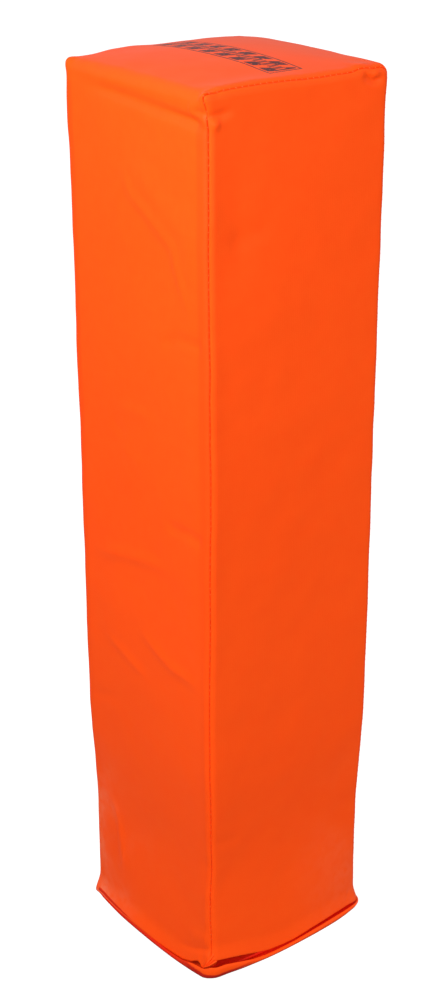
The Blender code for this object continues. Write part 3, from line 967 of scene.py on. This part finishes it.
def tape_place(turn, base, sign):
    """A function that carries points of a tape along X to its side of the base, face up or down."""
    def place(points):
        local = points.copy()
        local[:, 1] -= HALF - TAPE_INSET - TAPE_WIDTH / 2
        local[:, 2] = base + sign * points[:, 2]
        made = spun(local, turn)
        if sign < 0:
            made[:, 2] += hem_lift(made)
        return bowed(made, corner_half(0), side_swell(0))
    return place


def tape_band(name, place, sign):
    """The woven band: a flat strip with rounded edges and fine cross ribs."""
    across = [-1, -0.97, -0.9, -0.6, -0.2, 0.2, 0.6, 0.9, 0.97, 1]
    ribs = int(2 * TAPE_REACH / (0.7 * MM))
    rows = [-TAPE_REACH + 2 * TAPE_REACH * k / ribs for k in range(ribs + 1)]

    def rise(u, k):
        edge = math.sqrt(max(1 - abs(u) ** 12, 0.1))
        return BAND * (edge - 0.12 * (k % 2))

    def spot(row, u):
        return Vector((rows[row], u * TAPE_WIDTH / 2, rise(u, row)))

    bm = grid_sheet(list(range(len(rows))), across, spot)
    if sign < 0:
        bmesh.ops.reverse_faces(bm, faces=bm.faces[:])
    band = add_piece(name, bm, place)
    thicken(band, BAND * 0.7)
    return band


def tape(kind, side, shape, body, base, sign):
    """A band and its hooks or loops, standing for the CAD tape."""
    place = tape_place(TAPE_TURNS[side], base, sign)
    band = tape_band(side + "_" + kind + "_band", place, sign)
    half = TAPE_WIDTH / 2 - SELVEDGE
    spots, turns, sizes = [], [], []
    loose = kind == "loop"
    for row in range(int(2 * half / HOOK_PITCH) + 1):
        for column in range(int(2 * (TAPE_REACH - SELVEDGE) / HOOK_PITCH) + 1):
            x = -TAPE_REACH + SELVEDGE + column * HOOK_PITCH
            y = -half + row * HOOK_PITCH
            wander = 0.6 * MM if loose else 0.05 * MM
            x += random.uniform(-wander, wander)
            y += random.uniform(-wander, wander)
            spots.append((x, y, BAND * 0.8))
            turns.append(random.uniform(0, math.pi) if loose else math.pi / 2 + math.pi * (row % 2))
            sizes.append(random.uniform(0.75, 1.05) if loose else 1)
    pile = scatter(side + "_" + kind + "s", *shape, spots, turns, sizes, place)
    if sign < 0:
        pile.data.flip_normals()
    register(band, body, kind + "_tape_" + side)
    register(pile, body)
    return band, pile


hook_tapes, loop_tapes = [], []
for side in TAPE_TURNS:
    hook_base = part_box("hook_tape_" + side)[0].z
    loop_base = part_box("loop_tape_" + side)[1].z
    hook_tapes += tape("hook", side, HOOK, "base_flap", hook_base, 1)
    loop_tapes += tape("loop", side, LOOP, "cover", loop_base, -1)
print("tape pieces:", len(hook_tapes) + len(loop_tapes))

# %% [markdown]
# ## Foam, pouch and sand
# What fills the cover is out of sight while the flap is closed, but the pylon has to come apart. The
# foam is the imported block, remeshed and softened so that its cut faces look like open-cell foam. The
# pouch is a canvas bag that the sand pushes out between its corners, and the sand is one heap in it.

# %% Soften the foam block
FOAM_VOXEL = 2.2 * MM
FOAM_CELL = 4 * MM
FOAM_PITS = 0.25 * MM
FOAM_SHRINK = 0.5 * MM


def pitted(points):
    """Foam points that follow the cover, with the small unevenness of a cut block."""
    return creased(points) + noise_moves(points, FOAM_CELL) * FOAM_PITS


foam = add_object("foam_block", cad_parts["foam_core"].data.copy())
foam.data.name = "foam_block"
voxels = foam.modifiers.new("Voxels", "REMESH")
voxels.mode = "VOXEL"
voxels.voxel_size = FOAM_VOXEL
inward = foam.modifiers.new("Inward", "DISPLACE")
inward.strength = -FOAM_SHRINK
inward.mid_level = 0
softer = foam.modifiers.new("Soften", "SMOOTH")
softer.factor = 0.5
softer.iterations = 2
applied(foam)
foam.data.materials.clear()
reshape(foam.data, pitted)
foam.data.shade_smooth()
register(foam, "cover", "foam_core")
print("foam faces:", len(foam.data.polygons))

# %% Fill the pouch
POUCH_SEGMENTS = 14
POUCH_POWER = 7
POUCH_BULGE = 0.4 * MM
POUCH_FOLD = 11 * MM
POUCH_HALF = 31 * MM
BASE_POWER = 16
SAND_SEGMENTS = 22
SAND_GRAIN = 1.3 * MM
SAND_UNEVEN = 0.25
FLANGE = Vector((6, 6, 0)) * MM
FLANGE_HEIGHT = 0.6 * MM


def soft_box(low, high, segments, power):
    """A closed box between two corners, with rounded sides and corners, open to be reshaped."""
    bm = bmesh.new()
    bmesh.ops.create_cube(bm, size=2)
    bmesh.ops.subdivide_edges(bm, edges=bm.edges[:], cuts=segments, use_grid_fill=True)
    centre, half = (low + high) / 2, (high - low) / 2
    for vert in bm.verts:
        reach = sum(abs(value) ** power for value in vert.co) ** (1 / power)
        vert.co = Vector([centre[k] + vert.co[k] / reach * half[k] for k in range(3)])
    return bm


def wrinkled(points):
    """Bag points with the small folds of filled canvas."""
    folds = noise_values(points, POUCH_FOLD)[:, None] * np.array([1, 1, 0])
    return points * (1 + folds * POUCH_BULGE / POUCH_HALF)


def grained(points):
    """Sand points, each moved by a share of a grain."""
    return points + noise_moves(points, SAND_GRAIN) * SAND_GRAIN * SAND_UNEVEN


bag_low, bag_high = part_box("pouch_bag")
base_low, base_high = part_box("pouch_base")
sand_low, sand_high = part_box("sand_fill")
base_top = Vector((base_high.x, base_high.y, bag_low.z + FLANGE_HEIGHT))
bag_bm = soft_box(bag_low + FLANGE, bag_high - FLANGE, POUCH_SEGMENTS, POUCH_POWER)
bag = add_piece("pouch_bag_canvas", bag_bm, wrinkled)
thicken(bag, 0.5 * MM)
pouch_base = add_piece("pouch_flange", soft_box(base_low, base_top, POUCH_SEGMENTS, BASE_POWER))
sand = add_piece("sand_heap", soft_box(sand_low, sand_high, SAND_SEGMENTS, POUCH_POWER), grained)
for piece, node, slot in (
    (bag, "pouch_bag", "pouch_canvas"),
    (pouch_base, "pouch_base", "pouch_canvas"),
    (sand, "sand_fill", "sand"),
):
    register(piece, "cover", node)
print("sand heap", [round(value / MM) for value in sand_high - sand_low], "mm")

# %% [markdown]
# ## Materials
# Several finishes share the same small effects: a woven scrim under the coating, dust that gathers
# in patches, painted shade and dirt at the foot, painted shade beside the seams and uneven tone.
# Each effect is a node group with named sockets that puts out a mask or a height, and each material
# places it with its own values. The shader itself stays in the material. A node tree is long to
# write out, so a small class lets a mask be written as a sum: a * b + c makes the Math nodes for it.


# %% Values that nodes put out
class Value:
    """An output of a node. Sums and comparisons of values make Math nodes."""

    def __init__(self, socket):
        self.socket = socket
        self.tree = socket.id_data

    def __add__(self, other):
        return calc("ADD", self, other)

    def __sub__(self, other):
        return calc("SUBTRACT", self, other)

    def __rsub__(self, other):
        return calc("SUBTRACT", other, self)

    def __mul__(self, other):
        return calc("MULTIPLY", self, other)

    def __truediv__(self, other):
        return calc("DIVIDE", self, other)

    def __lt__(self, other):
        return calc("LESS_THAN", self, other)

    def __gt__(self, other):
        return calc("GREATER_THAN", self, other)

    def __abs__(self):
        return calc("ABSOLUTE", self)


def feed(socket, value):
    """Links a value to an input, or sets the input to a plain number, vector or colour."""
    if isinstance(value, Value):
        value.tree.links.new(value.socket, socket)
    else:
        socket.default_value = value


def add_node(tree, kind, inputs=(), **settings):
    """Adds a node, sets its properties and feeds its inputs."""
    made = tree.nodes.new(kind)
    for name, value in settings.items():
        setattr(made, name, value)
    for name, value in dict(inputs).items():
        feed(made.inputs[name], value)
    return made


def calc(operation, *values):
    """The result of a Math node."""
    tree = next(value.tree for value in values if isinstance(value, Value))
    return Value(add_node(tree, "ShaderNodeMath", enumerate(values), operation=operation).outputs[0])


# %% Effects that several groups use
# Places of a Mix node's factor and two colours among its inputs, and of its colour among its outputs
MIX_INPUTS = (0, 6, 7)
MIX_OUTPUT = 2


def split(vector):
    """The x, y and z of a vector."""
    made = add_node(vector.tree, "ShaderNodeSeparateXYZ", {"Vector": vector})
    return [Value(socket) for socket in made.outputs]


def places(tree):
    """Where a point lies on its object, as a vector and as x, y and z."""
    where = Value(add_node(tree, "ShaderNodeTexCoord").outputs["Object"])
    return where, *split(where)


def faded(value, low, high, start=0.0, end=1.0):
    """A value mapped smoothly from low to high onto start to end."""
    inputs = {"Value": value, "From Min": low, "From Max": high, "To Min": start, "To Max": end}
    made = add_node(value.tree, "ShaderNodeMapRange", inputs, interpolation_type="SMOOTHSTEP")
    return Value(made.outputs["Result"])


def speckle(where, scale, detail=3.0):
    """A noise value from 0 to 1."""
    inputs = {"Vector": where, "Scale": scale, "Detail": detail}
    return Value(add_node(where.tree, "ShaderNodeTexNoise", inputs).outputs["Fac"])


def mixed(share, first, second):
    """Two colours mixed by a share."""
    colours = [colour if isinstance(colour, Value) else (*colour, 1) for colour in (first, second)]
    inputs = zip(MIX_INPUTS, (share, *colours))
    return Value(add_node(share.tree, "ShaderNodeMix", inputs, data_type="RGBA").outputs[MIX_OUTPUT])


# %% Start, end and place a node group
def new_group(name, inputs, output):
    """A node group with one output: its tree, and its inputs as values by their names."""
    tree = bpy.data.node_groups.new(name, "ShaderNodeTree")
    for socket, value in inputs.items():
        made = tree.interface.new_socket(socket, in_out="INPUT", socket_type="NodeSocketFloat")
        made.default_value = value
    tree.interface.new_socket(output, in_out="OUTPUT", socket_type="NodeSocketFloat")
    return tree, {socket.name: Value(socket) for socket in tree.nodes.new("NodeGroupInput").outputs}


def close_group(result):
    """Puts a value out of the group that it was made in, and gives the group."""
    feed(result.tree.nodes.new("NodeGroupOutput").inputs[0], result)
    return result.tree


def place_group(tree, group, **values):
    """Places a node group in a material's tree with its own values, and gives what it puts out."""
    made = add_node(tree, "ShaderNodeGroup", node_tree=group)
    for name, value in values.items():
        made.inputs[name].default_value = value
    return Value(made.outputs[0])


# %% Group: the woven scrim under the coating
def scrim_group():
    """Height of a woven grid that lies in each face, whichever way the face looks."""
    tree, given = new_group("Woven scrim", {"Pitch": 1.0 * MM}, "Height")
    _, *spots = places(tree)
    ways = split(Value(add_node(tree, "ShaderNodeNewGeometry").outputs["Normal"]))
    turns = calc("DIVIDE", 2 * math.pi, given["Pitch"])
    flats = [calc("POWER", 1.0 - way * way, 4.0) for way in ways]
    x, y, z = [calc("SINE", spot * turns) * flat for spot, flat in zip(spots, flats)]
    return close_group(x + y + z)


# %% Group: dust in patches
def dust_group():
    """Where dust has settled: soft patches low on the pylon, away from its near corner."""
    tree, given = new_group("Dust", {"Amount": 0.3, "Patch": 25.0, "Low": 0.0, "High": 0.3}, "Mask")
    where, x, y, z = places(tree)
    broad = faded(speckle(where, given["Patch"]), 0.38, 0.70)
    fine = faded(speckle(where, 260.0, 2.0), 0.1, 0.7)
    low = faded(z, given["Low"], given["High"], 1.0, 0.0)
    far = faded(x + y, -1.15 * HALF, 0.2 * HALF)
    return close_group(broad * fine * (low * far) * given["Amount"])


# %% Group: painted shade and dirt at the foot
def foot_shade_and_dirt_group():
    """Painted shade and dirt on the lowest few millimetres, all round or only where x and y add up to a
    low value.
    """
    sockets = {"Amount": 0.6, "Height": 3.0 * MM, "Ragged": 1.0}
    sockets |= {"X": 0.0, "Y": 0.0, "From": 1.0, "To": 2.0}
    tree, given = new_group("Foot shade and dirt", sockets, "Mask")
    where, x, y, z = places(tree)
    edge = given["Height"] * ((speckle(where, 160.0) - 0.5) * given["Ragged"] + 1.0)
    low = faded(z, edge * 0.7, edge, 1.0, 0.0)
    side = faded(x * given["X"] + y * given["Y"], given["From"], given["To"], 1.0, 0.0)
    return close_group(low * side * given["Amount"])


# %% Group: painted shade beside the seams
def seam_shade_group():
    """Painted shade on the strip beside its two long seams, most of it high up."""
    tree, given = new_group("Seam shade", {"Amount": 0.5, "Reach": 5.0 * MM, "Top": 0.4}, "Mask")
    _, _, y, z = places(tree)
    inner = HALF - given["Reach"]
    near = faded(abs(y), inner, inner + 2.5 * MM)
    high = faded(z, 0.0, given["Top"]) * faded(z, 0.440, 0.448, 1.0, 0.0)
    return close_group(near * high * given["Amount"])


# %% Group: uneven tone
def tone_group():
    """A slow change of tone over a surface, around 0.5."""
    tree, given = new_group("Uneven tone", {"Scale": 14.0, "Contrast": 1.0}, "Value")
    where = places(tree)[0]
    return close_group((speckle(where, given["Scale"], 4.0) - 0.5) * given["Contrast"] + 0.5)


SCRIM, DUST, FOOT_SHADE_AND_DIRT, SEAM_SHADE, TONE = scrim_group(), dust_group(), foot_shade_and_dirt_group(), seam_shade_group(), tone_group()
print("node groups:", [group.name for group in (SCRIM, DUST, FOOT_SHADE_AND_DIRT, SEAM_SHADE, TONE)])


# %% Start a material
def new_material(name, roughness, specular):
    """A material with a Principled shader, and its tree."""
    made = bpy.data.materials.new(name)
    made.use_nodes = True
    shader = made.node_tree.nodes["Principled BSDF"]
    shader.inputs["Roughness"].default_value = roughness
    shader.inputs["Specular IOR Level"].default_value = specular
    return made, made.node_tree, shader


def bump(shader, height, strength, distance):
    """Raises the surface by a height, for the light only."""
    inputs = {"Height": height, "Strength": strength, "Distance": distance}
    made = add_node(height.tree, "ShaderNodeBump", inputs)
    feed(shader.inputs["Normal"], Value(made.outputs["Normal"]))


# %% [markdown]
# ## Coated vinyl
# The cover's vinyl is a bright fluorescent orange, semi-matt, with a woven scrim that just shows
# through the coating. It is a little paler where dust lies. Painted shade darkens it beside the long
# seams and along the foot, where the thinnest band is partly dirt, and a faint painted glow lifts its
# shaded parts toward red. On top of the pylon is a printed black strip. The real print isn't copied:
# plain bars and ticks in an outline of the same size stand in for it, drawn by arithmetic on the
# coordinates.

# %% Colours of the vinyl
ORANGE = (0.95, 0.086, 0.0046)
DEEP_ORANGE = (0.94, 0.072, 0.0036)
# Painted glow: the vinyl is no lamp, but a faint red emission lifts its shaded parts toward red
PAINTED_GLOW = (1.0, 0.02, 0.004)
COVER_PAINTED_GLOW = 0.06
FLAP_PAINTED_GLOW = 0.04
DUST_COLOUR = (0.80, 0.34, 0.20)
# A thin band all round the foot: partly dirt and partly painted contact shade
FOOT_DIRT_AND_SHADE_COLOUR = (0.30, 0.02, 0.006)
# Painted shade in the hinge fold under the left hem
HINGE_SHADE_COLOUR = (0.62, 0.012, 0.004)
# Painted shade under the rim at the near corner, where the hem lifts
NEAR_CORNER_SHADE_COLOUR = (0.46, 0.009, 0.005)
# Painted shade beside the strip's long seams
SEAM_SHADE_COLOUR = (0.80, 0.052, 0.004)
# The reverse of the vinyl, deepened to crimson as painted shade: it is seen only in the shade inside the
# rim and the flap and under the tucks
SHADED_REVERSE = (0.88, 0.022, 0.006)
DEEP_SHADED_REVERSE = (0.84, 0.016, 0.005)
# Bands at the foot, each with its colour: painted shade along the hinge fold, painted shade under the
# near corner's rim, and a thin band all round that is partly dirt and partly painted contact shade.
# Their values: amount, height, shares of x and y, where it is full and where it ends
FOOT_BAND_SOCKETS = ("Amount", "Height", "X", "Y", "From", "To")
FOOT_SHADE_AND_DIRT_BANDS = [
    ((0.9, 4.0 * MM, 1.0, -0.12, -54 * MM, -48 * MM), HINGE_SHADE_COLOUR),
    ((0.95, 3.5 * MM, 0.53, 0.53, -52 * MM, -40 * MM), NEAR_CORNER_SHADE_COLOUR),
    ((0.5, 1.0 * MM, 0.0, 0.0, 1.0, 2.0), FOOT_DIRT_AND_SHADE_COLOUR),
]
INK = (0.030, 0.016, 0.022)
PRINT_HALF_WIDTH = 9.3 * MM
PRINT_HALF_LENGTH = 42 * MM
PRINT_LINE = 0.8 * MM


# %% Group: a printed strip
def print_group():
    """Mask of a plain printed strip on the pylon's top: an outline with slanted bars and ticks."""
    sockets = {"Half width": PRINT_HALF_WIDTH, "Half length": PRINT_HALF_LENGTH, "Line": PRINT_LINE}
    tree, given = new_group("Printed strip", sockets, "Mask")
    where, x, y, z = places(tree)
    beyond = calc("MAXIMUM", abs(x) - given["Half width"], abs(y) - given["Half length"])
    outline = beyond > given["Line"] * -1.0
    panel = beyond < given["Line"] * -2.2
    band = abs(x) < 2.6 * MM
    bars = (calc("FRACT", (y + x * 0.45) / (10.5 * MM)) < 0.62) * (1.0 - band)
    ticks = band * (1.0 - (calc("FRACT", y / (3.5 * MM)) < 0.3))
    marks = panel * calc("MAXIMUM", bars, ticks * 0.8)
    ink = (beyond < 0.0) * calc("MAXIMUM", outline, marks)
    worn = faded(speckle(where, 700.0), 0.28, 0.42)
    return close_group(ink * (z > TOP_Z - 3 * MM) * worn)


PRINT = print_group()


# %% Material: the cover's vinyl
def vinyl(name, printed, dust, shade_and_dirt_bands, glow, deep=DEEP_ORANGE, plain=ORANGE):
    """Coated vinyl with its scrim, dust, a painted glow and bands of painted shade and dirt at the foot,
    with painted shade beside the seams and the printed strip where they are wanted.
    """
    made, tree, shader = new_material(name, 0.5, 0.09)
    tone = place_group(tree, TONE, Scale=11.0, Contrast=1.5)
    fine = place_group(tree, TONE, Scale=170.0, Contrast=1.8)
    dusty = place_group(tree, DUST, Amount=dust, Patch=22.0, Low=0.02, High=0.12)
    colour = mixed(dusty, mixed((tone + fine) * 0.5, deep, plain), DUST_COLOUR)
    if printed:
        # Painted shade beside the strip's long seams, deepest high up
        seam_shaded = place_group(tree, SEAM_SHADE, Amount=0.45, Reach=6.8 * MM, Top=0.35)
        colour = mixed(seam_shaded, colour, SEAM_SHADE_COLOUR)
    # Bands of painted shade at the foot; the thin all-round one is partly dirt
    for band, tint in shade_and_dirt_bands:
        painted_band = place_group(tree, FOOT_SHADE_AND_DIRT, Ragged=0.6, **dict(zip(FOOT_BAND_SOCKETS, band)))
        colour = mixed(painted_band, colour, tint)
    if printed:
        colour = mixed(place_group(tree, PRINT), colour, INK)
    feed(shader.inputs["Base Color"], colour)
    feed(shader.inputs["Roughness"], tone * 0.10 + 0.40 + dusty * 0.5)
    # Painted glow: a faint red emission that lifts shaded vinyl toward red
    feed(shader.inputs["Emission Color"], (*PAINTED_GLOW, 1))
    feed(shader.inputs["Emission Strength"], glow)
    scrim = place_group(tree, SCRIM, Pitch=1.1 * MM)
    grain = speckle(places(tree)[0], 420.0)
    bump(shader, scrim * 0.25 + grain, 0.35, 0.05 * MM)
    return made


cover_vinyl = vinyl("Orange coated vinyl, printed", True, 0.6, [], COVER_PAINTED_GLOW)
panel_vinyl = vinyl("Orange coated vinyl", False, 0.12, [], COVER_PAINTED_GLOW)
flap_vinyl = vinyl("Orange coated vinyl, shade and dirt at the foot", False, 0.10, FOOT_SHADE_AND_DIRT_BANDS, FLAP_PAINTED_GLOW)
shaded_reverse_vinyl = vinyl("Reverse of the vinyl, deepened as painted shade", False, 0.0, [], FLAP_PAINTED_GLOW, DEEP_SHADED_REVERSE, SHADED_REVERSE)
for piece, finish in (
    (wrap, cover_vinyl), (front, panel_vinyl), (back, panel_vinyl), (tail, panel_vinyl),
    (sole, flap_vinyl), (fold, flap_vinyl), (lining, shaded_reverse_vinyl),
):
    piece.data.materials.append(finish)
# The inner faces of the sole and the seam's tail take the reverse, deepened as painted shade
for piece in (sole, tail):
    piece.data.materials.append(shaded_reverse_vinyl)
    piece.modifiers["Thickness"].material_offset = 1


# %% Materials: thread, tapes, canvas, foam, sand and board
def thread_material():
    """Spun polyester thread with a twist along it."""
    made, tree, shader = new_material("Orange thread", 0.6, 0.3)
    fibre = speckle(places(tree)[0], 2400.0, 2.0)
    feed(shader.inputs["Base Color"], mixed(fibre, (0.80, 0.075, 0.006), (0.95, 0.14, 0.02)))
    bump(shader, fibre, 0.5, 0.05 * MM)
    return made


def canvas_material():
    """Dark woven canvas."""
    made, tree, shader = new_material("Dark canvas", 0.85, 0.2)
    weave = place_group(tree, SCRIM, Pitch=0.9 * MM)
    share = faded(weave, -1.6, 1.6)
    feed(shader.inputs["Base Color"], mixed(share, (0.015, 0.017, 0.02), (0.06, 0.065, 0.07)))
    bump(shader, weave, 0.6, 0.1 * MM)
    return made


def fibre_material(name, dark, light, scale, roughness, depth):
    """A matt finish of fine fibres or grains in two tones."""
    made, tree, shader = new_material(name, roughness, 0.2)
    fine = speckle(places(tree)[0], scale, 4.0)
    tone = place_group(tree, TONE, Scale=scale / 20, Contrast=1.2)
    feed(shader.inputs["Base Color"], mixed((fine + tone) * 0.5, dark, light))
    bump(shader, fine, 0.6, depth * MM)
    return made


# Dark tone, light tone, fibres or grains in a metre, roughness and depth in millimetres
FIBRES = {
    "Black nylon hooks": ((0.012, 0.012, 0.013), (0.03, 0.03, 0.032), 1500.0, 0.55, 0.03),
    "Black loop pile": ((0.012, 0.012, 0.012), (0.05, 0.05, 0.052), 1800.0, 0.9, 0.08),
    "Open-cell foam": ((0.62, 0.58, 0.46), (0.86, 0.83, 0.74), 900.0, 0.95, 0.6),
    "Dry sand": ((0.36, 0.26, 0.15), (0.66, 0.54, 0.37), 1300.0, 0.95, 0.5),
    "White board": ((0.66, 0.66, 0.63), (0.80, 0.80, 0.78), 500.0, 0.5, 0.02),
}
fibres = [fibre_material(name, *looks) for name, looks in FIBRES.items()]
finishes = fibres + [thread_material(), canvas_material()]
dressed = (hook_tapes, loop_tapes, [foam], [sand], [board], [cover_stitches], [bag, pouch_base])
for pieces, finish in zip(dressed, finishes):
    for piece in pieces:
        piece.data.materials.clear()
        piece.data.materials.append(finish)
print("finishes besides the vinyl:", [finish.name for finish in finishes])

# %% [markdown]
# ## Floor and light
# The photograph is a cut-out on white, lit softly from above and from the left, and it darkens
# towards the foot. A wide lamp near the top left gives both, because its light falls off along the
# height. The floor and the world are white for the camera, and dimmer for the light that they throw.

# %% Lay the floor
FLOOR_HALF = 12
FLOOR_Z = -0.3 * MM
FLOOR_SHADE = 0.25
FLOOR_SEEN = 0.93


def camera_mix(tree, seen, bounced):
    """A value that is seen by the camera directly, and another for all other light."""
    path = Value(add_node(tree, "ShaderNodeLightPath").outputs["Is Camera Ray"])
    return faded(path, 0.0, 1.0, bounced, seen)


floor_bm = bmesh.new()
bmesh.ops.create_grid(floor_bm, x_segments=1, y_segments=1, size=FLOOR_HALF)
floor = add_piece("studio_floor", floor_bm)
floor.location.z = FLOOR_Z
floor_finish, tree, shader = new_material("Pale studio floor", 1.0, 0.0)
feed(shader.inputs["Base Color"], (FLOOR_SHADE, FLOOR_SHADE, FLOOR_SHADE, 1))
feed(shader.inputs["Emission Color"], (1, 1, 1, 1))
feed(shader.inputs["Emission Strength"], camera_mix(tree, FLOOR_SEEN, 0.0))
floor.data.materials.append(floor_finish)

# %% Light the studio
WORLD_SEEN = 1.0
WORLD_BOUNCED = 0.66
# Place, target, width and power of each lamp
LAMPS = {
    "left_softbox": ((-1.35, -0.40, 0.40), (0, 0, 0.20), 0.80, 3.7),
    "near_softbox": ((-0.36, -0.10, 0.58), (-0.05, -0.03, 0.38), 0.20, 1.5),
    "corner_softbox": ((-0.30, -0.22, 0.50), (-0.05, -0.02, 0.38), 0.20, 0.15),
    "front_softbox": ((0.05, -1.30, 0.62), (0, 0, 0.18), 0.90, 6.2),
}
world = bpy.data.worlds.new("studio")
world.use_nodes = True
bpy.context.scene.world = world
sky = world.node_tree.nodes["Background"]
feed(sky.inputs["Color"], (1, 1, 1, 1))
feed(sky.inputs["Strength"], camera_mix(world.node_tree, WORLD_SEEN, WORLD_BOUNCED))
for name, (place, target, size, power) in LAMPS.items():
    lamp = bpy.data.lights.new(name, "AREA")
    lamp.shape = "DISK"
    lamp.size = size
    lamp.energy = power
    aim(add_object(name, lamp), place, Vector(target) - Vector(place))
bpy.context.scene.view_settings.view_transform = "Standard"
print("lamps:", len(LAMPS))
